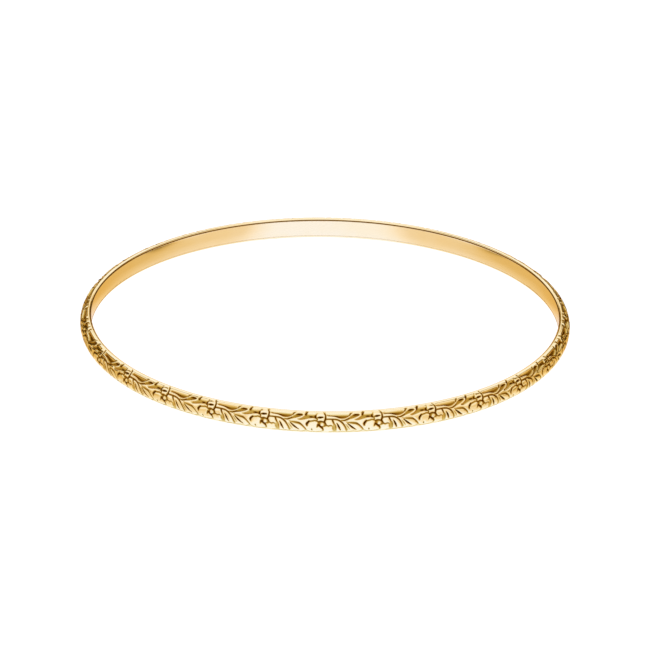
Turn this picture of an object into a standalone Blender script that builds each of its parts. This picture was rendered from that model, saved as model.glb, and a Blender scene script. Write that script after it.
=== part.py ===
"""A closed slip-on bangle bracelet, built up from sheet: a half-round outer shell, a flat inner liner
between the shell's turned-in edges, the solder in both seams, and the butt joint at the back with
the sleeve inside it.

The bangle lies flat. The origin is the centre of the ring on the plane it rests on, and +Z is the
ring's own axis. The front is at -Y and the butt joint is at +Y. Lengths are in metres.
"""

import math

import bmesh
import bpy
from mathutils import Matrix, Vector

MM = 0.001

# Driving dimensions
INNER_RADIUS = 32.5 * MM
BAND_WIDTH = 3.0 * MM
BAND_THICKNESS = 1.55 * MM
SHEET = 0.28 * MM  # the outer shell's wall
LINER_SHEET = 0.25 * MM
RIM_FLAT_END = 0.35 * MM  # from the inner face to where the flat of each side turns into the rounded outside
RIM_EDGE = 0.25 * MM  # the rounding of the shell's turned-in edges
LINER_EDGE = 0.06 * MM  # the same of the liner's edges
SEAM = 0.08 * MM  # the space between the liner's edge and the shell
SOLDER_DEPTH = 0.03 * MM  # how far the seam's solder lies below the inner face
JOINT = 0.12 * MM  # the space between the two ends of a strip
FIT_GAP = 0.01 * MM  # between pieces that touch
SLEEVE_FIT = 0.03 * MM
SLEEVE_SHEET = 0.18 * MM
SLEEVE_LENGTH = 3.0 * MM

# Smoothness
RING_STEPS = 112
SLEEVE_STEPS = 4
OUTSIDE_STEPS = 12
CAVITY_STEPS = 8
EDGE_STEPS = 3

JOINT_DIRECTION = math.radians(90)

GOLD = (0.90, 0.60, 0.24)
LINER_GOLD = (0.92, 0.65, 0.30)
SOLDER = (0.80, 0.55, 0.26)

# Places that follow from the dimensions
OUTER_RADIUS = INNER_RADIUS + BAND_THICKNESS
BULGE_RADIUS = INNER_RADIUS + RIM_FLAT_END  # where the rounded outside starts
MID_HEIGHT = BAND_WIDTH / 2
LINER_LOW = SHEET + SEAM
LINER_HIGH = BAND_WIDTH - SHEET - SEAM
LINER_OUTER_RADIUS = INNER_RADIUS + LINER_SHEET


def clear_scene():
    for old in list(bpy.data.objects):
        bpy.data.objects.remove(old, do_unlink=True)


def make_material(name, color, roughness):
    material = bpy.data.materials.new(name)
    material.use_nodes = True
    shader = material.node_tree.nodes["Principled BSDF"]
    shader.inputs["Base Color"].default_value = (*color, 1.0)
    shader.inputs["Metallic"].default_value = 1.0
    shader.inputs["Roughness"].default_value = roughness
    return material


def half_ellipse(radial, axial, steps):
    """Points of the bulge from its lower end over the crest to its upper end, as (radius, height)."""
    points = []
    for step in range(steps + 1):
        angle = math.pi * step / steps - math.pi / 2
        points.append((BULGE_RADIUS + radial * math.cos(angle), MID_HEIGHT + axial * math.sin(angle)))
    return points


def upside_down(points):
    """The same points mirrored to the other side of the band, in the order that continues the outline."""
    return [(radius, BAND_WIDTH - height) for radius, height in reversed(points)]


def shell_outline():
    """The shell's section: the rounded outside, then back along the hollow inside it."""
    lower_edge = []
    for step in range(EDGE_STEPS + 1):
        angle = math.radians(90) * step / EDGE_STEPS
        lower_edge.append(
            (INNER_RADIUS + RIM_EDGE * (1 - math.sin(angle)), RIM_EDGE * (1 - math.cos(angle)))
        )
    lower_edge.reverse()
    outside = half_ellipse(OUTER_RADIUS - BULGE_RADIUS, MID_HEIGHT, OUTSIDE_STEPS)
    cavity = half_ellipse(OUTER_RADIUS - BULGE_RADIUS - SHEET, MID_HEIGHT - SHEET, CAVITY_STEPS)
    cavity.reverse()
    upper_foot = (INNER_RADIUS, BAND_WIDTH - SHEET)
    lower_foot = (INNER_RADIUS, SHEET)
    return lower_edge + outside + upside_down(lower_edge) + [upper_foot] + cavity + [lower_foot]


def liner_outline():
    lower_half = [
        (INNER_RADIUS, LINER_LOW + LINER_EDGE),
        (INNER_RADIUS + LINER_EDGE, LINER_LOW),
        (LINER_OUTER_RADIUS, LINER_LOW),
    ]
    return lower_half + upside_down(lower_half)


def seam_outline():
    """The solder in the lower seam, between the shell's turned-in edge and the liner."""
    inside = INNER_RADIUS + SOLDER_DEPTH
    low = SHEET + FIT_GAP
    high = LINER_LOW - FIT_GAP
    return [(inside, low), (LINER_OUTER_RADIUS, low), (LINER_OUTER_RADIUS, high), (inside, high)]


def sleeve_outline():
    """The strip that lies against the hollow's rounded wall, behind the shell's joint."""
    radial = OUTER_RADIUS - BULGE_RADIUS - SHEET - SLEEVE_FIT
    axial = MID_HEIGHT - SHEET - SLEEVE_FIT
    outside = half_ellipse(radial, axial, CAVITY_STEPS)
    inside = half_ellipse(radial - SLEEVE_SHEET, axial - SLEEVE_SHEET, CAVITY_STEPS)
    inside.reverse()
    return outside + inside


def make_piece(name, outline, material, steps, centre, angle):
    """Turns an outline about the ring's axis, through an angle centred on a direction. A whole turn closes."""
    whole_turn = math.isclose(angle, math.tau)
    mesh = bpy.data.meshes.new(name)
    section = bmesh.new()
    corners = [section.verts.new((radius, 0.0, height)) for radius, height in outline]
    if whole_turn:
        for start, end in zip(corners, corners[1:] + corners[:1]):
            section.edges.new((start, end))
    else:
        section.faces.new(corners)
    bmesh.ops.rotate(
        section,
        verts=corners,
        cent=Vector(),
        matrix=Matrix.Rotation(centre - angle / 2, 3, "Z"),
    )
    bmesh.ops.spin(
        section,
        geom=section.verts[:] + section.edges[:] + section.faces[:],
        cent=Vector(),
        axis=Vector((0.0, 0.0, 1.0)),
        angle=angle,
        steps=steps,
        use_merge=whole_turn,
    )
    bmesh.ops.recalc_face_normals(section, faces=section.faces[:])
    section.to_mesh(mesh)
    section.free()
    mesh.materials.append(material)
    mesh.shade_smooth()
    mesh.set_sharp_from_angle(angle=math.radians(30))
    piece = bpy.data.objects.new(name, mesh)
    bpy.context.collection.objects.link(piece)
    return piece


def make_strip(name, outline, material):
    """A band bent round the wrist whose two ends face each other across the joint."""
    opening = JOINT / INNER_RADIUS
    return make_piece(name, outline, material, RING_STEPS, JOINT_DIRECTION + math.pi, math.tau - opening)


def make_joint_solder(name, outline, material):
    """The thin slice of solder that fills the joint of a strip with this outline."""
    thickness = (JOINT - 2 * FIT_GAP) / INNER_RADIUS
    return make_piece(name, outline, material, 1, JOINT_DIRECTION, thickness)


def make_ring(name, outline, material):
    """A closed ring with no joint."""
    return make_piece(name, outline, material, RING_STEPS, JOINT_DIRECTION + math.pi, math.tau)


def build():
    clear_scene()
    make_strip("embossed_shell", shell_outline(), make_material("shell_gold", GOLD, 0.15))
    make_strip("inner_liner", liner_outline(), make_material("liner_gold", LINER_GOLD, 0.10))
    make_ring("lower_seam_solder", seam_outline(), make_material("lower_seam_solder", SOLDER, 0.25))
    make_ring("upper_seam_solder", upside_down(seam_outline()), make_material("upper_seam_solder", SOLDER, 0.25))
    make_joint_solder("shell_joint_solder", shell_outline(), make_material("shell_joint_solder", SOLDER, 0.25))
    make_joint_solder("liner_joint_solder", liner_outline(), make_material("liner_joint_solder", SOLDER, 0.25))
    make_piece(
        "joint_sleeve",
        sleeve_outline(),
        make_material("sleeve_gold", GOLD, 0.35),
        SLEEVE_STEPS,
        JOINT_DIRECTION,
        SLEEVE_LENGTH / INNER_RADIUS,
    )


build()
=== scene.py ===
"""The looks of a closed slip-on bangle bracelet with a chased band of flowers and leaves.

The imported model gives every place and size. The outer shell is rebuilt here with its relief, the
liner with its softly crowned face, and the solder and the sleeve with rounder, worked surfaces.
The relief is drawn in millimetres on one repeat of the pattern: across is the distance along the
crest of the band, to the right seen from outside, and up is the distance from the crest.
"""

import math

import bpy
import numpy as np
from mathutils import Matrix, Vector


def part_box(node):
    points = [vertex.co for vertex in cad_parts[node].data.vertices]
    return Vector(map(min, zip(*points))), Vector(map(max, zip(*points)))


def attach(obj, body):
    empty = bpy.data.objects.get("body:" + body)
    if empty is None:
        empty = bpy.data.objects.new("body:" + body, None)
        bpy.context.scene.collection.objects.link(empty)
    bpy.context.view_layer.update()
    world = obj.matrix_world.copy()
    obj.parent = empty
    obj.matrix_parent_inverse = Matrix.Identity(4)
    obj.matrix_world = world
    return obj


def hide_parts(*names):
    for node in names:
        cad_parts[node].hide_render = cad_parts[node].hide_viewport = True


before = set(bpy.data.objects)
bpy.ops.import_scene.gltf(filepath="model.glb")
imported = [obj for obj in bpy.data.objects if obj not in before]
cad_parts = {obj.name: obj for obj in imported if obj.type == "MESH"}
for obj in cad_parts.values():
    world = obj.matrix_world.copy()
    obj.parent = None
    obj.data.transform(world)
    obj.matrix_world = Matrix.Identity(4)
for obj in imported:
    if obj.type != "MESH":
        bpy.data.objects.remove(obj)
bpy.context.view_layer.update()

MM = 0.001


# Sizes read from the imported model

def radii(node):
    """The smallest and the largest distance of a node's points from the ring's axis."""
    places = [Vector((v.co.x, v.co.y)).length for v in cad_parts[node].data.vertices]
    return min(places), max(places)


INNER_RADIUS, OUTER_RADIUS = radii("embossed_shell")
LINER_OUTER_RADIUS = radii("inner_liner")[1]
BAND_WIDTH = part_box("embossed_shell")[1].z
MID_HEIGHT = BAND_WIDTH / 2
LINER_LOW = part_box("inner_liner")[0].z
SEAM_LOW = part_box("lower_seam_solder")[0].z
SEAM_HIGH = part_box("lower_seam_solder")[1].z
SEAM_RADIUS = radii("lower_seam_solder")[0]
SLEEVE_RADII = radii("joint_sleeve")
SLEEVE_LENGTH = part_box("joint_sleeve")[1].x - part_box("joint_sleeve")[0].x

# Details that can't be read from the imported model's boxes, or are finer here
SHEET = 0.28 * MM
BULGE_RADIUS = INNER_RADIUS + 0.35 * MM  # where the rounded outside starts
LOWER_EDGE = 0.25 * MM  # rounding of the lower inner edge
UPPER_EDGE = (0.42 * MM, 0.26 * MM)  # how far the rounding of the upper edge reaches outwards and down
EDGE_PAINTED_SHADE = 0.9  # painted shade on the last rows of that rounding, a dark line along the upper inner edge
CAVITY = (0.75 * MM, 0.90 * MM)  # the hollow's reach outwards from the bulge's centre, and up or down
LINER_EDGE = 0.03 * MM
LINER_CROWN = 0.06 * MM  # how far the liner's edges lie behind the middle of its face
LOWER_EDGE_RADIUS = INNER_RADIUS + LINER_CROWN  # the lower edge is polished down level with the liner's
SOLDER_BACK = 0.03 * MM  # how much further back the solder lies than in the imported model, beside the crown
MENISCUS = 0.015 * MM  # how far the solder's surface sinks in its middle
SLEEVE_SHEET = 0.18 * MM
SLEEVE_GAP = 0.02 * MM  # between the sleeve and the hollow's wall
JOINT = 0.12 * MM
JOINT_DIRECTION = math.radians(90)

# The pattern, in millimetres
REPEATS = 28
CUT_SPREAD = 1.5  # how much wider the cuts are than drawn
FLOWER_DIRECTION = math.radians(-90.6)  # the flower at the front
REPEAT_LENGTH = math.tau * OUTER_RADIUS / REPEATS / MM
RELIEF_TOP = 2.12  # the drawing's upper and lower ends
RELIEF_BOTTOM = -1.62
LIP_FOOT = 1.60  # where the ground meets the lip along the upper edge
LIP_SHADE_FADE = (1.44, 1.60)  # painted shade: the ground's darkening and tarnish fade out between these, so the ground next to the lip stays bright
GROUND = 0.30  # depth of the ground beside the lip
TAPER_SHARE = 0.45  # the share of a line's length over which each end tapers
PILLOW_MARGIN = 3  # the metal beside a cut is lowered out to this many times its reach
PILLOW_CUT_AWAY = 0.6  # the share of that lowering that is missing inside a deep cut
DEEP_CUT = 0.15
BEAD_UNSHADED = 0.75  # the share of a bead's radius that is kept free of the painted shade, so its raised top stays bright
DRAWING_STEP = 0.02
BLUR_STEPS = 2

# Fineness of the meshes
COARSE_COLUMNS_IN_REPEAT = 13
FINE_PER_COARSE = 6
UPPER_ROWS = (2.0, -1.0, 34)  # of the relief: the first and last place above the crest, and how many
LOWER_ROWS = (-1.12, -1.62, 5)
UPPER_EDGE_STEPS = 6
SHADED_EDGE_STEP = 5  # the upper edge carries painted shade from this step of its rounding on
LOWER_EDGE_STEPS = 6
PLAIN_STEPS = 3
CAVITY_STEPS = 8
LINER_FACE_STEPS = 16
LINER_EDGE_STEPS = 3
SOLDER_STEPS = 4
SLEEVE_STEPS = 12
SLEEVE_COLUMNS = 12
SMOOTH_COLUMNS = 720  # of the liner and the seams
ARC_SAMPLES = 2000


# The pattern's drawing

def smooth_path(points, closed=False, pieces=6):
    """A Catmull-Rom curve through the points."""
    points = [np.array(p, float) for p in points]
    if closed:
        around = [points[-1]] + points + points[:2]
    else:
        around = [2 * points[0] - points[1]] + points + [2 * points[-1] - points[-2]]
    path = []
    for a, b, c, d in zip(around, around[1:], around[2:], around[3:]):
        for piece in range(pieces):
            t = piece / pieces
            path.append(0.5 * (2 * b + (c - a) * t + (2 * a - 5 * b + 4 * c - d) * t**2
                               + (3 * b - a - 3 * c + d) * t**3))
    if not closed:
        path.append(points[-1])
    return np.array(path)


def soften(field):
    """Evens a field out a little, wrapped round the ring."""
    for _ in range(BLUR_STEPS):
        field = (np.roll(field, 1, 1) + 2 * field + np.roll(field, -1, 1)) / 4
        padded = np.pad(field, ((1, 1), (0, 0)), mode="edge")
        field = (padded[:-2] + 2 * padded[1:-1] + padded[2:]) / 4
    return field


class Drawing:
    """How deep one repeat of the pattern lies below the shell's smooth surface, in millimetres."""

    def __init__(self):
        columns = int(round(REPEAT_LENGTH / DRAWING_STEP))
        rows = int(round((RELIEF_TOP - RELIEF_BOTTOM) / DRAWING_STEP)) + 1
        self.across = np.arange(columns) * REPEAT_LENGTH / columns
        self.up = np.linspace(RELIEF_BOTTOM, RELIEF_TOP, rows)
        self.cut = np.zeros((rows, columns))
        self.pillow = np.zeros((rows, columns))
        self.raised = np.zeros((rows, columns))
        # painted shade and tarnish, which darken the colour
        self.shade_and_soil = np.zeros((rows, columns))

    def window(self, low, high):
        """The place and the coordinates of the grid's part between two corners, wrapped round the ring."""
        rows = np.where((self.up >= low[1]) & (self.up <= high[1]))[0]
        step = self.across[1]
        columns = np.arange(math.floor(low[0] / step), math.ceil(high[0] / step) + 1)
        across, up = np.meshgrid(columns * step, self.up[rows])
        return np.ix_(rows, columns % len(self.across)), across, up

    def nearest(self, path, across, up, widths=None):
        """Distance to a path and, where widths are given, the width of the path there."""
        best = np.full(across.shape, np.inf)
        width = np.zeros(across.shape)
        for index in range(len(path) - 1):
            start, end = path[index], path[index + 1]
            run = end - start
            length = max(run @ run, 1e-12)
            along = np.clip(((across - start[0]) * run[0] + (up - start[1]) * run[1]) / length, 0, 1)
            gap = np.hypot(across - start[0] - along * run[0], up - start[1] - along * run[1])
            closer = gap < best
            best = np.where(closer, gap, best)
            if widths is not None:
                here = widths[index] + (widths[index + 1] - widths[index]) * along
                width = np.where(closer, here, width)
        return best, width

    def line(self, points, width, depth, taper=(1, 1), shade_and_soil=0.95, crown=0.06, reach=0.17):
        """A chased line. taper gives how much of the width its two ends keep, and the shade setting how much
        painted shade and tarnish is left in it. Beside it the metal lies lower by up to crown, so that the
        forms look pillowed."""
        width = width * CUT_SPREAD
        path = smooth_path(points)
        along = np.linspace(0, 1, len(path))
        start = taper[0] + (1 - taper[0]) * np.clip(along / TAPER_SHARE, 0, 1)
        end = taper[1] + (1 - taper[1]) * np.clip((1 - along) / TAPER_SHARE, 0, 1)
        widths = width * np.minimum(start, end)
        margin = width + PILLOW_MARGIN * reach
        place, across, up = self.window(path.min(0) - margin, path.max(0) + margin)
        gap, local = self.nearest(path, across, up, widths)
        t = np.clip(gap / np.maximum(local / 2, 1e-6), 0, 1)
        strength = np.clip(local / width, 0, 1) ** 0.5
        self.cut[place] = np.maximum(self.cut[place], depth * strength * (1 - t**3) ** 1.5)
        # painted shade and tarnish down the cut
        self.shade_and_soil[place] = np.maximum(self.shade_and_soil[place], shade_and_soil * strength * (1 - t**3))
        self.pillow[place] = np.maximum(self.pillow[place], crown * np.exp(-gap / reach))

    def hollow(self, points, depth, wall=0.12, shade_and_soil=0.4, crown=0.04, reach=0.14):
        """An area of sunk ground inside a closed outline, darkened with painted shade and tarnish that fade
        out towards the lip.
        """
        path = smooth_path(points, closed=True)
        path = np.vstack([path, path[:1]])
        margin = PILLOW_MARGIN * reach
        place, across, up = self.window(path.min(0) - margin, path.max(0) + margin)
        gap, _ = self.nearest(path, across, up)
        inside = np.zeros(across.shape, bool)
        for start, end in zip(path, path[1:]):
            crosses = (start[1] > up) != (end[1] > up)
            rise = end[1] - start[1] if abs(end[1] - start[1]) > 1e-9 else 1e-9
            inside ^= crosses & (across < start[0] + (up - start[1]) * (end[0] - start[0]) / rise)
        t = np.clip(np.where(inside, gap, -gap) / wall + 0.5, 0, 1)
        self.cut[place] = np.maximum(self.cut[place], depth * t * t * (3 - 2 * t))
        lip_fade = np.clip((up - LIP_SHADE_FADE[0]) / (LIP_SHADE_FADE[1] - LIP_SHADE_FADE[0]), 0, 1)
        shade_and_dirt = shade_and_soil * t * t * (3 - 2 * t) * (1 - lip_fade)
        self.shade_and_soil[place] = np.maximum(self.shade_and_soil[place], shade_and_dirt)
        beside = crown * np.exp(-np.where(inside, 0, gap) / reach)
        self.pillow[place] = np.maximum(self.pillow[place], beside)

    def bead(self, centre, radius, rise):
        """A round grain that stands up out of the ground around it. Painted shade and tarnish are taken off
        its top.
        """
        centre = np.array(centre)
        place, across, up = self.window(centre - radius, centre + radius)
        t = np.clip(np.hypot(across - centre[0], up - centre[1]) / radius, 0, 1)
        self.raised[place] = np.maximum(self.raised[place], rise * (1 - t**4) ** 0.6)
        self.shade_and_soil[place] *= np.clip((t - BEAD_UNSHADED) / (1 - BEAD_UNSHADED), 0, 1)

    def finished(self):
        """The depth, softened as a polished surface is, and the painted shade and tarnish, whose full strength
        is 1.
        """
        kept = 1 - PILLOW_CUT_AWAY * np.clip(self.cut / DEEP_CUT, 0, 1)
        depth = soften(self.cut + self.pillow * kept - self.raised)
        return np.maximum(depth, 0) * MM, soften(self.shade_and_soil)


def draw_flower(art):
    """Four broad petals and one at the rim round a centre bead."""
    # ground round the bead
    art.hollow([(-0.42, 0.46), (0.0, 0.5), (0.38, 0.45), (0.5, 0.15), (0.38, -0.2), (0.12, -0.32),
                (-0.12, -0.16), (-0.36, -0.02), (-0.34, 0.2)], 0.2, wall=0.12, shade_and_soil=0.5)
    art.bead((0.16, 0.12), 0.31, 0.24)
    # left petal
    art.line([(-1.86, -0.1), (-1.88, 0.15), (-1.75, 0.36), (-1.58, 0.55)], 0.21, 0.19, taper=(0.6, 0.8),
             shade_and_soil=1.3)
    art.line([(-1.58, 0.52), (-1.2, 0.58), (-0.85, 0.66), (-0.58, 0.6), (-0.36, 0.47)], 0.14, 0.13, shade_and_soil=0.6)
    art.line([(-0.4, 0.1), (-0.42, -0.08), (-0.56, -0.34)], 0.17, 0.14, taper=(1, 0.4))
    # lower left petal
    art.line([(-0.3, -0.02), (-0.08, -0.2), (0.14, -0.4), (0.27, -0.62), (0.27, -0.95)], 0.18, 0.16,
             taper=(1, 0.4), shade_and_soil=1.1)
    art.line([(-1.22, -0.58), (-1.21, -0.75), (-1.16, -0.95)], 0.11, 0.06, taper=(0.5, 0.3))
    # lower right petal
    art.line([(0.46, -0.12), (0.62, -0.05), (0.82, -0.03), (1.0, -0.11), (1.3, -0.01), (1.47, -0.1)],
             0.14, 0.12, taper=(1, 0.8), shade_and_soil=0.65)
    # right petal
    art.line([(0.38, 1.86), (0.6, 1.5), (0.62, 1.15), (0.58, 0.8), (0.47, 0.52), (0.56, 0.3), (0.68, 0.08)],
             0.17, 0.16, taper=(0.5, 0.8), shade_and_soil=1.1)
    art.line([(1.5, 0.84), (1.6, 0.55), (1.74, 0.22)], 0.15, 0.14, taper=(1, 0.7))
    # inner and outer petal at the top
    art.line([(-0.42, 1.07), (-0.1, 1.1), (0.28, 1.14)], 0.17, 0.22, taper=(0.6, 0.6), shade_and_soil=1.6)
    art.line([(-0.36, 0.5), (-0.05, 0.55), (0.28, 0.5), (0.46, 0.38)], 0.14, 0.12)
    art.line([(-0.55, 1.72), (-0.66, 1.45), (-0.68, 1.1)], 0.1, 0.08, taper=(0.4, 1), shade_and_soil=0.5)
    art.line([(-0.62, 1.05), (-0.5, 0.85), (-0.55, 0.68)], 0.1, 0.05)


def draw_stem(art):
    """The stem that leaves the flower to the right, and the ground above it."""
    art.hollow([(0.8, 1.54), (1.2, LIP_FOOT), (1.9, LIP_FOOT), (2.6, LIP_FOOT), (3.3, LIP_FOOT), (3.8, 1.56),
                (3.72, 1.3), (3.4, 1.1), (3.1, 0.98), (2.75, 0.95), (2.4, 1.04), (2.0, 1.2), (1.5, 1.3),
                (0.95, 1.34)], GROUND, wall=0.14, shade_and_soil=0.45)
    # the dark foot of the ground along the stem: a shallow cut with painted shade
    art.line([(0.95, 1.43), (1.5, 1.42), (2.0, 1.37), (2.4, 1.25), (2.85, 1.2), (3.35, 1.25)], 0.12, 0.05,
             taper=(0.4, 0.4), shade_and_soil=1.3, crown=0)
    art.line([(0.7, 0.85), (1.0, 0.88), (1.5, 0.87), (2.05, 0.82), (2.4, 0.7), (2.7, 0.5), (2.95, 0.24),
              (3.1, 0.0), (3.25, -0.3), (3.34, -0.65), (3.4, -1.0)], 0.16, 0.15, taper=(0.8, 0.4),
             shade_and_soil=0.85)


def draw_upper_leaves(art):
    """The leaf with a sunk blade that rises to the lip, and the ground between it and the next flower."""
    art.line([(2.72, 0.72), (3.1, 0.69), (3.45, 0.8), (3.75, 0.95)], 0.14, 0.15, taper=(0.5, 1))
    art.hollow([(3.5, 0.78), (3.75, 1.02), (3.95, 1.22), (4.3, 1.42), (4.7, 1.48), (5.2, 1.48), (5.1, 1.34),
                (4.75, 1.15), (4.3, 0.98), (3.85, 0.86)], 0.16, wall=0.14)
    art.line([(4.3, 1.4), (4.65, 1.48), (5.1, 1.48)], 0.15, 0.2, taper=(0.5, 0.7), shade_and_soil=1.4)
    art.line([(3.84, 1.42), (3.98, 1.62), (4.25, 1.82)], 0.12, 0.06, taper=(1, 0.3))
    art.hollow([(4.5, 0.78), (5.0, 0.95), (5.3, 1.15), (5.5, 1.36), (5.75, 1.56), (6.1, LIP_FOOT),
                (6.6, LIP_FOOT), (6.95, 1.54), (7.03, 1.2), (6.98, 0.99), (6.5, 1.02),
                (6.1, 0.97), (5.7, 0.88), (5.2, 0.76), (4.8, 0.7)], 0.24, wall=0.16, shade_and_soil=0.32)
    art.line([(6.05, 1.2), (6.3, 1.2), (6.6, 1.19)], 0.17, 0.21, taper=(0.4, 0.6), shade_and_soil=1.6)
    art.line([(6.9, 1.42), (6.85, 1.2), (6.92, 1.0)], 0.2, 0.21, taper=(0.8, 0.7), shade_and_soil=1.2)
    art.line([(5.56, 1.46), (5.66, 1.66), (5.78, 1.95)], 0.17, 0.17, taper=(1, 0.6), shade_and_soil=1.2)


def draw_lower_leaves(art):
    """The fan of leaves below the stem."""
    art.hollow([(1.72, 0.18), (1.9, 0.06), (1.98, -0.3), (2.02, -0.95), (1.8, -1.1), (1.62, -0.95),
                (1.6, -0.45), (1.58, -0.1)], 0.1, wall=0.16, shade_and_soil=0.2)
    art.line([(1.75, 0.25), (1.9, 0.05), (1.97, -0.3), (1.98, -0.6), (2.06, -0.95)], 0.13, 0.13,
             taper=(0.8, 0.4), shade_and_soil=0.5)
    art.line([(1.58, -0.15), (1.6, -0.5), (1.66, -0.85)], 0.12, 0.11, taper=(0.6, 0.5), shade_and_soil=0.4)
    art.line([(2.12, 0.32), (2.24, 0.1), (2.37, -0.2), (2.49, -0.5), (2.62, -0.86)], 0.14, 0.24,
             taper=(0.4, 0.4), shade_and_soil=1.8)
    art.hollow([(3.0, 0.2), (3.16, 0.1), (3.4, -0.3), (3.62, -0.8), (3.45, -0.95), (3.22, -0.35)], 0.08,
               shade_and_soil=0.2)
    art.line([(3.28, 0.18), (3.5, -0.1), (3.7, -0.42), (3.86, -0.75)], 0.11, 0.1, taper=(0.5, 0.4), shade_and_soil=0.35)
    art.line([(3.55, 0.24), (3.75, 0.08), (4.0, -0.17), (4.25, -0.4), (4.5, -0.62), (4.72, -0.78)],
             0.14, 0.24, taper=(0.5, 0.4), shade_and_soil=1.8)
    art.line([(3.4, 0.47), (3.75, 0.37), (4.2, 0.27), (4.6, 0.22), (4.86, 0.14), (5.06, 0.0), (5.26, -0.2),
              (5.5, -0.5), (5.66, -0.8)], 0.18, 0.18, taper=(0.4, 0.6), shade_and_soil=0.65)
    art.hollow([(3.7, 0.45), (4.1, 0.47), (4.5, 0.43), (4.85, 0.33), (5.0, 0.12), (4.7, 0.16),
                (4.3, 0.22), (3.9, 0.3)], 0.07, wall=0.16)
    # the lower border, which the leaf tips and the petals touch
    art.line([(0.3, -0.95), (1.0, -1.3), (1.75, -1.18), (2.3, -1.36), (2.95, -1.2), (3.6, -1.34),
              (4.3, -1.12), (5.0, -1.32), (5.65, -0.95), (6.3, -1.3), (7.2, -1.32), (7.94, -0.95)],
             0.16, 0.05, shade_and_soil=0.15)


def draw_pattern():
    art = Drawing()
    draw_flower(art)
    draw_stem(art)
    draw_upper_leaves(art)
    draw_lower_leaves(art)
    return art.finished()


# the pattern's depth, and its painted shade and tarnish
RELIEF_DEPTH, PAINTED_SHADE_AND_TARNISH = draw_pattern()


def drawn(field, direction, up):
    """A field of the drawing at directions round the ring and a distance above the crest."""
    rows, columns = field.shape
    across = (direction - FLOWER_DIRECTION) * OUTER_RADIUS / MM
    column = (across % REPEAT_LENGTH) / REPEAT_LENGTH * columns
    row = np.clip((up - RELIEF_BOTTOM) / (RELIEF_TOP - RELIEF_BOTTOM) * (rows - 1), 0, rows - 1.001)
    whole_column = np.floor(column).astype(int)
    lower = int(row)
    beyond = column - whole_column
    above = row - lower
    left, right = whole_column % columns, (whole_column + 1) % columns
    low = field[lower, left] * (1 - beyond) + field[lower, right] * beyond
    high = field[lower + 1, left] * (1 - beyond) + field[lower + 1, right] * beyond
    return low * (1 - above) + high * above


# Sections of the band

def bulge(radial, axial, angle):
    """A point of the half-ellipse that bulges outwards, as (radius, height), at an angle from its crest."""
    return BULGE_RADIUS + radial * math.cos(angle), MID_HEIGHT + axial * math.sin(angle)


def bulge_angles(lengths):
    """The angles on the shell's outside at these distances up from the crest."""
    angles = np.linspace(0, math.pi / 2, ARC_SAMPLES)
    radial = OUTER_RADIUS - BULGE_RADIUS
    steps = np.hypot(radial * np.sin(angles), MID_HEIGHT * np.cos(angles)) * (angles[1] - angles[0])
    travelled = np.concatenate([[0], np.cumsum((steps[1:] + steps[:-1]) / 2)])
    return [math.copysign(np.interp(abs(length), travelled, angles), length) for length in lengths]


class Row:
    """One line of points round the band, at a radius and a height. A row of the relief also has the way
    inwards and its place up from the crest, and takes its painted shade and tarnish from the drawing."""

    def __init__(self, radius, height, inward=None, up=None, sharp=False, shade_and_tarnish=0.0):
        self.radius = radius
        self.height = height
        self.inward = inward
        self.up = up
        self.sharp = sharp
        self.shade_and_tarnish = shade_and_tarnish


def rounded_edge(start, edge, steps):
    """A quarter round from a strip's underside up to its inner face, as (radius, height)."""
    points = []
    for step in range(steps + 1):
        angle = math.radians(90) * step / steps
        points.append((start[0] + edge * (1 - math.sin(angle)), start[1] + edge * (1 - math.cos(angle))))
    return points


def outside_row(angle, up=None):
    radial = OUTER_RADIUS - BULGE_RADIUS
    radius, height = bulge(radial, MID_HEIGHT, angle)
    normal = Vector((math.cos(angle) / radial, math.sin(angle) / MID_HEIGHT)).normalized()
    return Row(radius, height, inward=-normal, up=up)


def shell_rows():
    """The shell's section from the upper inner edge over the outside, and back through the hollow."""
    rows = []
    for step in range(UPPER_EDGE_STEPS, -1, -1):
        angle = math.radians(90) * step / UPPER_EDGE_STEPS
        radius = INNER_RADIUS + UPPER_EDGE[0] * (1 - math.sin(angle))
        height = BAND_WIDTH - UPPER_EDGE[1] * (1 - math.cos(angle))
        # the last rows of the upper edge get painted shade
        rows.append(Row(radius, height, shade_and_tarnish=EDGE_PAINTED_SHADE if step >= SHADED_EDGE_STEP else 0.0))
    places = [*np.linspace(*UPPER_ROWS), *np.linspace(*LOWER_ROWS)]
    angles = bulge_angles(np.array(places) * MM)
    for place, angle in zip(places, angles):
        rows.append(outside_row(angle, up=place))
    for step in range(1, PLAIN_STEPS + 1):
        rows.append(outside_row(angles[-1] + (-math.pi / 2 - angles[-1]) * step / PLAIN_STEPS))
    rows += [Row(*point) for point in rounded_edge((LOWER_EDGE_RADIUS, 0), LOWER_EDGE, LOWER_EDGE_STEPS)]
    rows.append(Row(LOWER_EDGE_RADIUS, SHEET, sharp=True))
    rows.append(Row(LINER_OUTER_RADIUS, SHEET, sharp=True))
    for step in range(CAVITY_STEPS + 1):
        angle = math.pi * (step / CAVITY_STEPS - 0.5)
        rows.append(Row(*bulge(*CAVITY, angle), sharp=step in (0, CAVITY_STEPS)))
    rows.append(Row(LINER_OUTER_RADIUS, BAND_WIDTH - SHEET, sharp=True))
    rows.append(Row(INNER_RADIUS, BAND_WIDTH - SHEET, sharp=True))
    return rows


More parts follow.
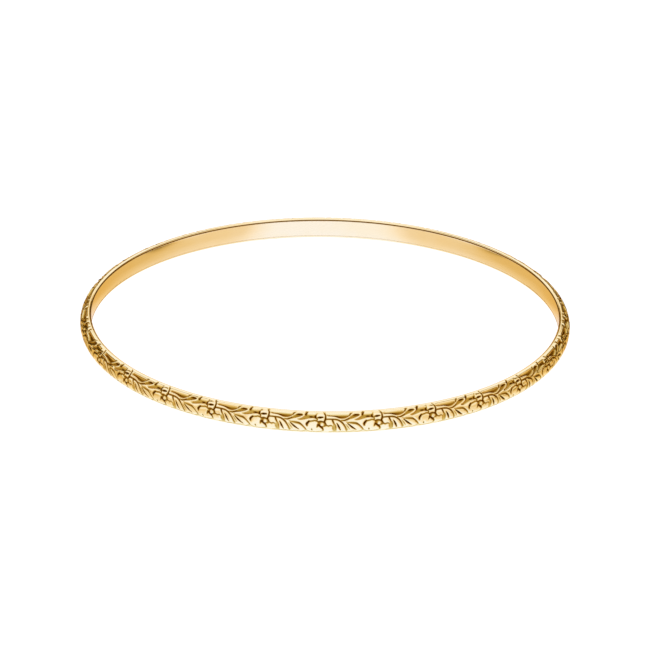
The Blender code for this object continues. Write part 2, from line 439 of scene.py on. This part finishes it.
def liner_rows():
    """The liner's section: a softly crowned face towards the wrist, rounded edges and a flat back."""
    half = MID_HEIGHT - LINER_LOW - LINER_EDGE
    low_part = rounded_edge((INNER_RADIUS + LINER_CROWN, LINER_LOW), LINER_EDGE, LINER_EDGE_STEPS)
    face = []
    for step in range(1, LINER_FACE_STEPS):
        place = -1 + 2 * step / LINER_FACE_STEPS
        face.append((INNER_RADIUS + LINER_CROWN * place**2, MID_HEIGHT + place * half))
    high_part = [(radius, BAND_WIDTH - height) for radius, height in reversed(low_part)]
    rows = [Row(LINER_OUTER_RADIUS, LINER_LOW, sharp=True)]
    rows += [Row(*point) for point in low_part + face + high_part]
    rows.append(Row(LINER_OUTER_RADIUS, BAND_WIDTH - LINER_LOW, sharp=True))
    return rows


def seam_rows():
    """The lower seam's solder, with a hollow meniscus towards the wrist."""
    middle = (SEAM_LOW + SEAM_HIGH) / 2
    half = (SEAM_HIGH - SEAM_LOW) / 2
    rows = [Row(LINER_OUTER_RADIUS, SEAM_LOW, sharp=True)]
    for step in range(SOLDER_STEPS + 1):
        place = -1 + 2 * step / SOLDER_STEPS
        radius = SEAM_RADIUS + SOLDER_BACK + MENISCUS * (1 - place**2)
        rows.append(Row(radius, middle + place * half))
    rows.append(Row(LINER_OUTER_RADIUS, SEAM_HIGH, sharp=True))
    return rows


def sleeve_rows():
    """The strip inside the hollow, behind the shell's joint."""
    radial, axial = CAVITY[0] - SLEEVE_GAP, CAVITY[1] - SLEEVE_GAP
    angles = [math.pi * (step / SLEEVE_STEPS - 0.5) for step in range(SLEEVE_STEPS + 1)]
    rows = [Row(*bulge(radial, axial, angle)) for angle in angles]
    rows += [Row(*bulge(radial - SLEEVE_SHEET, axial - SLEEVE_SHEET, angle)) for angle in reversed(angles)]
    return rows


# Turning a section into a piece

def turned_points(row, directions):
    """The points of a row, moved inwards by the relief where the row has one."""
    radius = np.full(len(directions), row.radius)
    height = np.full(len(directions), row.height)
    if row.up is not None:
        depth = drawn(RELIEF_DEPTH, directions, row.up)
        radius = radius + row.inward.x * depth
        height = height + row.inward.y * depth
    return np.column_stack([radius * np.cos(directions), radius * np.sin(directions), height])


def make_piece(name, node, rows, columns, material, slot, start, end, fine=1):
    """Turns rows of a closed section from one direction to another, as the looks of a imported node. Rows with
    relief get finer columns."""
    whole_turn = math.isclose(end - start, math.tau)
    points, firsts, counts, shade_and_tarnish = [], [], [], []
    total = 0
    for row in rows:
        count = columns * (fine if row.up is not None else 1)
        directions = start + (end - start) * np.arange(count + (0 if whole_turn else 1)) / count
        points.append(turned_points(row, directions))
        if row.up is None:
            shade_and_tarnish.append(np.full(len(directions), row.shade_and_tarnish))
        else:
            shade_and_tarnish.append(drawn(PAINTED_SHADE_AND_TARNISH, directions, row.up))
        firsts.append(total)
        counts.append(count)
        total += len(directions)
    faces = []
    for index in range(len(rows)):
        after = (index + 1) % len(rows)
        faces += stitch(firsts[index], counts[index], firsts[after], counts[after], whole_turn)
    if not whole_turn:
        faces.append(list(firsts))
        faces.append([first + count for first, count in zip(reversed(firsts), reversed(counts))])
    mesh = bpy.data.meshes.new(name)
    mesh.from_pydata(np.vstack(points).tolist(), [], faces)
    mesh.shade_smooth()
    mark_sharp_edges(mesh, rows, firsts, counts, whole_turn)
    # the drawing's painted shade and tarnish go to the mesh as a point attribute
    if fine > 1:
        layer = mesh.attributes.new("shade_and_tarnish", "FLOAT", "POINT")
        layer.data.foreach_set("value", np.concatenate(shade_and_tarnish).astype(np.float32))
    mesh.materials.append(material)
    mesh.validate()
    piece = bpy.data.objects.new(name, mesh)
    bpy.context.scene.collection.objects.link(piece)
    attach(piece, "root")
    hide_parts(node)
    return piece


def stitch(first, count, next_first, next_count, whole_turn):
    """Faces between two rows. Where one row is finer, each long edge fans out to its short ones."""
    def place(start, amount, index):
        return start + (index % amount if whole_turn else index)

    faces = []
    if count == next_count:
        for column in range(count):
            faces.append([place(first, count, column), place(next_first, count, column),
                          place(next_first, count, column + 1), place(first, count, column + 1)])
        return faces
    finer_next = next_count > count
    coarse, fine = (first, next_first) if finer_next else (next_first, first)
    coarse_count, fine_count = min(count, next_count), max(count, next_count)
    ratio = fine_count // coarse_count
    for column in range(coarse_count):
        left, right = place(coarse, coarse_count, column), place(coarse, coarse_count, column + 1)
        short = [place(fine, fine_count, column * ratio + step) for step in range(ratio + 1)]
        fan = [[left, a, b] for a, b in zip(short[: ratio // 2], short[1 : ratio // 2 + 1])]
        fan.append([left, short[ratio // 2], right])
        fan += [[right, a, b] for a, b in zip(short[ratio // 2 :], short[ratio // 2 + 1 :])]
        faces += fan if finer_next else [face[::-1] for face in fan]
    return faces


def mark_sharp_edges(mesh, rows, firsts, counts, whole_turn):
    """Keeps the section's corners crisp, along its sharp rows and round the two ends of a strip."""
    total = len(mesh.vertices)
    row_of_point = np.zeros(total, int)
    for index, first in enumerate(firsts):
        row_of_point[first:] = index
    ends = np.zeros(len(mesh.edges) * 2, int)
    mesh.edges.foreach_get("vertices", ends)
    first_ends, second_ends = ends[0::2], ends[1::2]
    sharp_rows = np.array([row.sharp for row in rows])
    same_row = row_of_point[first_ends] == row_of_point[second_ends]
    sharp = same_row & sharp_rows[row_of_point[first_ends]]
    if not whole_turn:
        for rim in (firsts, [first + count for first, count in zip(firsts, counts)]):
            on_rim = np.zeros(total, bool)
            on_rim[rim] = True
            sharp |= on_rim[first_ends] & on_rim[second_ends] & ~same_row
    layer = mesh.attributes.new("sharp_edge", "BOOLEAN", "EDGE")
    layer.data.foreach_set("value", sharp)


# Materials

class Nodes:
    """Short calls for building a material's nodes."""

    def __init__(self, name):
        self.material = bpy.data.materials.new(name)
        self.material.use_nodes = True
        self.tree = self.material.node_tree
        self.shader = self.tree.nodes["Principled BSDF"]

    def add(self, kind, settings=None, **inputs):
        node = self.tree.nodes.new(kind)
        for key, value in (settings or {}).items():
            setattr(node, key, value)
        for key, value in inputs.items():
            socket = node.inputs[int(key[1:])] if key[0] == "i" and key[1:].isdigit() else node.inputs[key]
            if isinstance(value, bpy.types.NodeSocket):
                self.tree.links.new(value, socket)
            else:
                socket.default_value = value
        return node

    def math(self, operation, a, b=0.0):
        return self.add("ShaderNodeMath", {"operation": operation}, i0=a, i1=b).outputs[0]

    def ramp(self, value, low, high, to_low, to_high):
        """Maps a value smoothly from one range to another."""
        node = self.add("ShaderNodeMapRange", {"interpolation_type": "SMOOTHSTEP"}, i0=value, i1=low, i2=high,
                        i3=to_low, i4=to_high)
        return node.outputs[0]

    def mix(self, factor, a, b):
        """A colour between two others."""
        node = self.add("ShaderNodeMix", {"data_type": "RGBA"})
        for socket, value in ((node.inputs[0], factor), (node.inputs[6], a), (node.inputs[7], b)):
            if isinstance(value, bpy.types.NodeSocket):
                self.tree.links.new(value, socket)
            else:
                socket.default_value = value
        return node.outputs[2]

    def noise(self, where, scale, detail):
        node = self.add("ShaderNodeTexNoise", {"noise_dimensions": "3D"}, Vector=where, Scale=scale,
                        Detail=detail, Roughness=0.5)
        return node.outputs[0]

    def lumps(self, size, detail):
        """Even noise whose lumps are about this many millimetres across."""
        place = self.add("ShaderNodeTexCoord").outputs["Object"]
        return self.noise(place, 1 / (size * MM), detail)

    def streaks(self, scale, detail, around=1.0, up=1.0):
        """Noise over the band, drawn out along the way round or the way up, where the smaller share is."""
        place = self.add("ShaderNodeTexCoord").outputs["Object"]
        split = self.add("ShaderNodeSeparateXYZ", i0=place).outputs
        turned = self.math("MULTIPLY", self.math("ARCTAN2", split[1], split[0]), OUTER_RADIUS / MM)
        height = self.math("DIVIDE", split[2], MM)
        where = self.add("ShaderNodeCombineXYZ", i0=self.math("MULTIPLY", turned, around),
                         i1=self.math("MULTIPLY", height, up), i2=0.0)
        return self.noise(where.outputs[0], scale, detail)

    def feed(self, name, value):
        """Joins a value to one of the shader's own sockets."""
        self.tree.links.new(value, self.shader.inputs[name])

    def polished_metal(self):
        self.shader.inputs["Metallic"].default_value = 1.0
        self.shader.inputs["Specular Tint"].default_value = EDGE_TINT

    def bumps(self, heights):
        """Joins heights in millimetres, given as (value, height), into the shader's normal."""
        total = None
        for value, height in heights:
            part = self.math("MULTIPLY", value, height * MM)
            total = part if total is None else self.math("ADD", total, part)
        bump = self.add("ShaderNodeBump", Height=total, Strength=1.0, Distance=1.0)
        self.feed("Normal", bump.outputs[0])


# Colours
GOLD = (1.0, 0.725, 0.31, 1)
WORN_GOLD = (1.0, 0.74, 0.34, 1)
LINER_GOLD = (1.0, 0.72, 0.34, 1)
LINER_WORN_GOLD = (1.0, 0.735, 0.37, 1)
SOLDER_GOLD = (0.97, 0.70, 0.34, 1)
SOLDER_SHADE = (0.88, 0.62, 0.29, 1)
SOILED_SOLDER = (0.34, 0.19, 0.05, 1)
SOILED_SOLDER_SHADE = (0.20, 0.10, 0.02, 1)
DEEP_GOLD = (0.30, 0.19, 0.06, 1)
EDGE_TINT = (1.0, 0.80, 0.48, 1)  # of reflections that graze the metal
SHADE_AND_TARNISH_TINT = (0.13, 0.040, 0.0005)  # how much of the colour is left under full painted shade and tarnish
SHADE_AND_TARNISH_UNEVEN = (0.9, 1.1)  # how much of the drawn painted shade and tarnish is there, from place to place
TARNISH_ROUGHNESS = 0.55
# The least and the most roughness of each finish
SHELL_POLISH = (0.08, 0.17)
LINER_POLISH = (0.10, 0.17)
SOLDER_POLISH = (0.14, 0.24)
SLEEVE_POLISH = (0.3, 0.5)
# The parts of a noise's range over which the looks change
CLOUD_RANGE = (0.4, 0.65)
SCRATCH_RANGE = (0.35, 0.7)
FULL_RANGE = (0.3, 0.7)


def shell_gold():
    """Polished yellow gold: painted shade and tarnish darken the cuts and hollows, the high places are left
    bright, paler worn patches lie at random, fine scratches.
    """
    n = Nodes("shell_gold")
    shade_and_tarnish = n.add("ShaderNodeAttribute", {"attribute_name": "shade_and_tarnish"}).outputs["Fac"]
    cloud = n.lumps(2.5, 3)
    worn = n.mix(n.ramp(cloud, *CLOUD_RANGE, 0, 1), GOLD, WORN_GOLD)
    uneven = n.math("MULTIPLY", shade_and_tarnish, n.ramp(cloud, *FULL_RANGE, *SHADE_AND_TARNISH_UNEVEN))
    tints = [n.math("POWER", tint, uneven) for tint in SHADE_AND_TARNISH_TINT]
    dimmed = n.add("ShaderNodeCombineXYZ", i0=tints[0], i1=tints[1], i2=tints[2]).outputs[0]
    # painted shade: the colour is darkened where the shade and tarnish field is strong
    color = n.add("ShaderNodeVectorMath", {"operation": "MULTIPLY"}, i0=worn, i1=dimmed)
    n.feed("Base Color", color.outputs[0])
    scratches = n.streaks(14.0, 3, around=0.12)
    polish = n.ramp(scratches, *SCRATCH_RANGE, *SHELL_POLISH)
    n.feed("Roughness", n.math("ADD", n.math("MULTIPLY", shade_and_tarnish, TARNISH_ROUGHNESS), polish))
    n.bumps([(scratches, 0.0006), (n.lumps(0.12, 2), 0.0012), (n.lumps(0.9, 1), 0.006)])
    n.polished_metal()
    return n.material


def liner_gold():
    """The smooth inner face: polish lines that run round the band, and the soft waves left by the buff."""
    n = Nodes("liner_gold")
    cloud = n.lumps(5.0, 2)
    n.feed("Base Color", n.mix(n.ramp(cloud, *CLOUD_RANGE, 0, 1), LINER_GOLD, LINER_WORN_GOLD))
    lines = n.streaks(9.0, 3, around=0.05)
    n.feed("Roughness", n.ramp(lines, *FULL_RANGE, *LINER_POLISH))
    n.bumps([(lines, 0.0006), (n.streaks(0.9, 1, around=0.16), 0.02)])
    n.polished_metal()
    return n.material


def solder_gold(name, color, shade):
    """Solder, a little duller than the sheet, with small pits."""
    n = Nodes(name)
    grain = n.lumps(0.08, 3)
    n.feed("Base Color", n.mix(grain, color, shade))
    n.feed("Roughness", n.ramp(grain, *FULL_RANGE, *SOLDER_POLISH))
    n.bumps([(grain, 0.004)])
    n.polished_metal()
    return n.material


def sleeve_gold():
    """The unpolished sleeve inside the hollow, with the marks of the rolls."""
    n = Nodes("sleeve_gold")
    rolled = n.streaks(12.0, 3, up=0.1)
    n.feed("Base Color", n.mix(rolled, GOLD, DEEP_GOLD))
    n.feed("Roughness", n.ramp(rolled, *FULL_RANGE, *SLEEVE_POLISH))
    n.bumps([(rolled, 0.003)])
    n.polished_metal()
    return n.material


# The pieces

def build_bangle():
    shell_material = shell_gold()
    liner_material = liner_gold()
    solder_material = solder_gold("solder_gold", SOLDER_GOLD, SOLDER_SHADE)
    soiled_material = solder_gold("soiled_solder", SOILED_SOLDER, SOILED_SOLDER_SHADE)
    half_joint = JOINT / INNER_RADIUS / 2
    half_sleeve = math.asin(SLEEVE_LENGTH / 2 / SLEEVE_RADII[1])
    start = JOINT_DIRECTION + half_joint
    end = JOINT_DIRECTION + math.tau - half_joint
    strip = (start, end)
    joint = (end - math.tau, start)
    ring = (JOINT_DIRECTION, JOINT_DIRECTION + math.tau)
    sleeve = (JOINT_DIRECTION - half_sleeve, JOINT_DIRECTION + half_sleeve)
    seam = seam_rows()
    upper_seam = [Row(row.radius, BAND_WIDTH - row.height, sharp=row.sharp) for row in reversed(seam)]
    make_piece("chased_shell", "embossed_shell", shell_rows(), REPEATS * COARSE_COLUMNS_IN_REPEAT,
               shell_material, "shell_gold", *strip, FINE_PER_COARSE)
    make_piece("chased_joint_solder", "shell_joint_solder", shell_rows(), 1,
               shell_material, "solder_gold", *joint, FINE_PER_COARSE)
    make_piece("polished_liner", "inner_liner", liner_rows(), SMOOTH_COLUMNS,
               liner_material, "liner_gold", *strip)
    make_piece("polished_joint_solder", "liner_joint_solder", liner_rows(), 1,
               liner_material, "solder_gold", *joint)
    make_piece("lower_solder_line", "lower_seam_solder", seam, SMOOTH_COLUMNS,
               solder_material, "solder_gold", *ring)
    make_piece("upper_solder_line", "upper_seam_solder", upper_seam, SMOOTH_COLUMNS,
               soiled_material, "solder_gold", *ring)
    make_piece("rolled_sleeve", "joint_sleeve", sleeve_rows(), SLEEVE_COLUMNS,
               sleeve_gold(), "sleeve_gold", *sleeve)


build_bangle()


# The studio

CAMERA_DISTANCE = 0.611
CAMERA_ELEVATION = math.radians(24.36)
CAMERA_LENS = 242.9
CAMERA_AIM_UP = math.radians(0.060)
CAMERA_ROLL = math.radians(0.813)
FLOOR_SIZE = 4.0
FLOOR_GREY = (0.1, 0.1, 0.1, 1)
FLOOR_GLOW = 1.0
WHITE = (1, 1, 1, 1)


def make_camera():
    data = bpy.data.cameras.new("camera")
    data.lens = CAMERA_LENS
    data.sensor_width = 36.0
    data.clip_start = 0.01
    data.clip_end = 20.0
    camera = bpy.data.objects.new("camera", data)
    bpy.context.scene.collection.objects.link(camera)
    place = Vector((0, -math.cos(CAMERA_ELEVATION), math.sin(CAMERA_ELEVATION))) * CAMERA_DISTANCE
    pitch = math.radians(90) - CAMERA_ELEVATION + CAMERA_AIM_UP
    camera.matrix_world = (
        Matrix.Translation(place) @ Matrix.Rotation(pitch, 4, "X") @ Matrix.Rotation(CAMERA_ROLL, 4, "Z")
    )
    bpy.context.scene.camera = camera


def make_floor():
    """A white light table. Polished metal on it mirrors the studio's walls and not the table."""
    half = FLOOR_SIZE / 2
    corners = [(-half, -half, 0), (half, -half, 0), (half, half, 0), (-half, half, 0)]
    mesh = bpy.data.meshes.new("floor")
    mesh.from_pydata(corners, [], [(0, 1, 2, 3)])
    n = Nodes("floor_white")
    n.shader.inputs["Base Color"].default_value = FLOOR_GREY
    n.shader.inputs["Roughness"].default_value = 0.9
    n.shader.inputs["Emission Color"].default_value = WHITE
    n.shader.inputs["Emission Strength"].default_value = FLOOR_GLOW
    mesh.materials.append(n.material)
    floor = bpy.data.objects.new("floor", mesh)
    bpy.context.scene.collection.objects.link(floor)
    floor.visible_glossy = False


def direction(azimuth, elevation):
    """A unit vector. Azimuth 0 is the front of the bangle, -Y, and grows towards +X."""
    a, e = math.radians(azimuth), math.radians(elevation)
    return Vector((math.sin(a) * math.cos(e), -math.cos(a) * math.cos(e), math.sin(e)))


# The colour of the studio's light by its level: warm where it is dim and cool where it is bright
LIGHT_COLORS = [
    (0.0, (0.0, 0.0, 0.0)),
    (0.1, (0.08, 0.057, 0.02)),
    (0.2, (0.18, 0.126, 0.03)),
    (0.37, (0.31, 0.24, 0.09)),
    (0.75, (0.77, 0.63, 0.34)),
    (1.2, (0.86, 0.79, 0.65)),
    (4.0, (0.99, 1.06, 1.34)),
    (9.0, (1.0, 1.19, 1.86)),
    (30.0, (1.0, 1.36, 2.70)),
]

# Soft round panels: azimuth, elevation, radius of the even part and radius where it ends, all in degrees,
# and brightness
PANELS = [
    (180, -68, 22, 48, 12.0),  # the table, below and behind
    (180, 33, 14, 40, 11.0),  # high behind
    (180, 82, 6, 24, 5.0),  # overhead
    (-75, 27, 16, 42, 7.5),  # left wall
    (75, 27, 16, 42, 4.2),  # right wall
]
# Black flags: the same, with the share of the light that each takes away
FLAGS = [
    (-88, -4, 6, 17, 0.6),  # low beside the table, left and right
    (88, -4, 6, 17, 0.7),
    (151, 9, 9, 22, 0.93),  # behind, right and left
    (209, 9, 8, 19, 0.88),
    (168, 17, 7, 12, 0.95),  # and close beside the panel behind
    (192, 17, 7, 12, 0.95),
]
# The rest is set by the parts of a direction: x sideways, y away from the front, z up. Each pair of edges is
# where the light starts and where it is full
FRONT_STRENGTH = 8.5  # a tall panel in front
FRONT_SIDES = (0.64, 0.38)
FRONT_DEPTH = (0.12, -0.25)
GLOW_STRENGTH = 0.9  # the room's glow in front
GLOW_DEPTH = (0.2, -0.8)
FILL = 0.15  # everywhere
TABLE_FILL = 0.65  # more below the horizon
TABLE_HEIGHTS = (0.06, -0.06)
TABLE_GLOW = 1.3  # and more again further down
TABLE_GLOW_HEIGHTS = (-0.36, -0.62)
DARK_BEHIND = 0.72  # the share of the light that is missing behind, between the table and the panel there
DARK_DEPTH = (0.25, 0.6)
DARK_HEIGHTS_LOW = (-0.02, 0.06)
DARK_HEIGHTS_HIGH = (0.36, 0.22)


def make_world():
    """A studio of soft panels round the bangle."""
    world = bpy.data.worlds.new("studio")
    world.use_nodes = True
    tree = world.node_tree
    tree.nodes.clear()

    def add(kind, settings=None, inputs=()):
        node = tree.nodes.new(kind)
        for key, value in (settings or {}).items():
            setattr(node, key, value)
        for socket, value in zip(node.inputs, inputs):
            if isinstance(value, bpy.types.NodeSocket):
                tree.links.new(value, socket)
            elif value is not None:
                socket.default_value = value
        return node

    def combine(operation, a, b):
        return add("ShaderNodeMath", {"operation": operation}, (a, b)).outputs[0]

    def soft_step(value, edges, height):
        zero_at, full_at = edges
        return add("ShaderNodeMapRange", {"interpolation_type": "SMOOTHSTEP"},
                   (value, zero_at, full_at, 0.0, height)).outputs[0]

    def cap(azimuth, elevation, even, end, height):
        middle = direction(azimuth, elevation)
        dot = add("ShaderNodeVectorMath", {"operation": "DOT_PRODUCT"}, (ray, middle)).outputs["Value"]
        return soft_step(dot, (math.cos(math.radians(end)), math.cos(math.radians(even))), height)

    place = add("ShaderNodeTexCoord").outputs["Generated"]
    ray = add("ShaderNodeVectorMath", {"operation": "NORMALIZE"}, (place,)).outputs[0]
    parts = add("ShaderNodeSeparateXYZ", None, (ray,)).outputs
    sideways = combine("ABSOLUTE", parts[0], 0.0)
    total = combine("MULTIPLY", soft_step(sideways, FRONT_SIDES, FRONT_STRENGTH),
                    soft_step(parts[1], FRONT_DEPTH, 1.0))
    total = combine("ADD", total, soft_step(parts[1], GLOW_DEPTH, GLOW_STRENGTH))
    total = combine("ADD", total, FILL)
    total = combine("ADD", total, soft_step(parts[2], TABLE_HEIGHTS, TABLE_FILL))
    total = combine("ADD", total, soft_step(parts[2], TABLE_GLOW_HEIGHTS, TABLE_GLOW))
    for panel in PANELS:
        total = combine("ADD", total, cap(*panel))
    dark = combine("MULTIPLY", soft_step(parts[2], DARK_HEIGHTS_LOW, 1.0),
                   soft_step(parts[2], DARK_HEIGHTS_HIGH, 1.0))
    dark = combine("MULTIPLY", dark, soft_step(parts[1], DARK_DEPTH, DARK_BEHIND))
    total = combine("MULTIPLY", total, combine("SUBTRACT", 1.0, dark))
    for flag in FLAGS:
        total = combine("MULTIPLY", total, combine("SUBTRACT", 1.0, cap(*flag)))
    level = combine("DIVIDE", total, combine("ADD", total, 1.0))
    ramp = add("ShaderNodeValToRGB", None, (level,))
    stops = ramp.color_ramp.elements
    while len(stops) < len(LIGHT_COLORS):
        stops.new(0.5)
    for stop, (height, color) in zip(stops, LIGHT_COLORS):
        stop.position = height / (height + 1)
        stop.color = (*color, 1)
    studio = add("ShaderNodeBackground", None, (ramp.outputs[0], 1.0))
    plain = add("ShaderNodeBackground", None, (WHITE, FLOOR_GLOW))
    seen = add("ShaderNodeLightPath").outputs["Is Camera Ray"]
    mixed = add("ShaderNodeMixShader", None, (seen, studio.outputs[0], plain.outputs[0]))
    output = add("ShaderNodeOutputWorld")
    tree.links.new(mixed.outputs[0], output.inputs[0])
    bpy.context.scene.world = world


make_camera()
make_floor()
make_world()
bpy.context.scene.view_settings.view_transform = "Standard"
